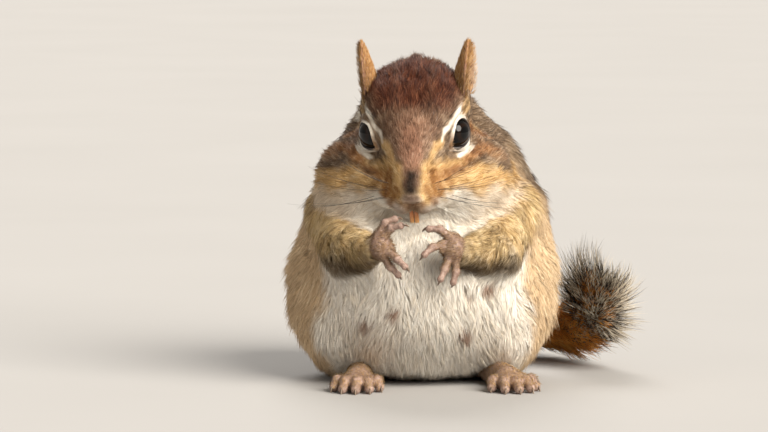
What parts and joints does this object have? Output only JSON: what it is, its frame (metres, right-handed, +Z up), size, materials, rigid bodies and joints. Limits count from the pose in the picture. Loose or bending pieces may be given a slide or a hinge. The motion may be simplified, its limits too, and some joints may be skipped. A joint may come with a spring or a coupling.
{
  "type": "chipmunk",
  "caption": "Plump striped ground squirrel sitting upright on its haunches, forepaws raised together below its mouth, cheek pouches full and bushy tail curled round one side.",
  "frame": {"origin": "on the floor, on the flat that the rump sits on, below the middle of the body", "axes": "+Z up; -Y the way the animal looks; +X its left side, where the tail curls forward"},
  "size_m": [0.0924, 0.0976, 0.0877],
  "materials": {
    "crown_fur": "matte fur",
    "neck_fur": "matte fur",
    "body_fur": "matte fur",
    "foreleg_fur": "matte fur",
    "haunch_fur": "matte fur",
    "tail_fur": "long matte fur",
    "ear_skin": "thin, short-haired",
    "paw_skin": "thin-haired skin with horn claws",
    "eye": "wet gloss",
    "tooth": "glazed"
  },
  "bodies": {
    "root": {"head": "crown_fur", "neck": "neck_fur", "torso": "body_fur", "foreleg_left": "foreleg_fur", "foreleg_right": "foreleg_fur", "thigh_left": "haunch_fur", "thigh_right": "haunch_fur", "tail_base": "tail_fur", "tail_middle": "tail_fur", "tail_end": "tail_fur", "ear_left": "ear_skin", "ear_right": "ear_skin", "forepaw_left": "paw_skin", "forepaw_right": "paw_skin", "hind_foot_left": "paw_skin", "hind_foot_right": "paw_skin", "eye_left": "eye", "eye_right": "eye", "incisors": "tooth"}
  },
  "joints": []
}
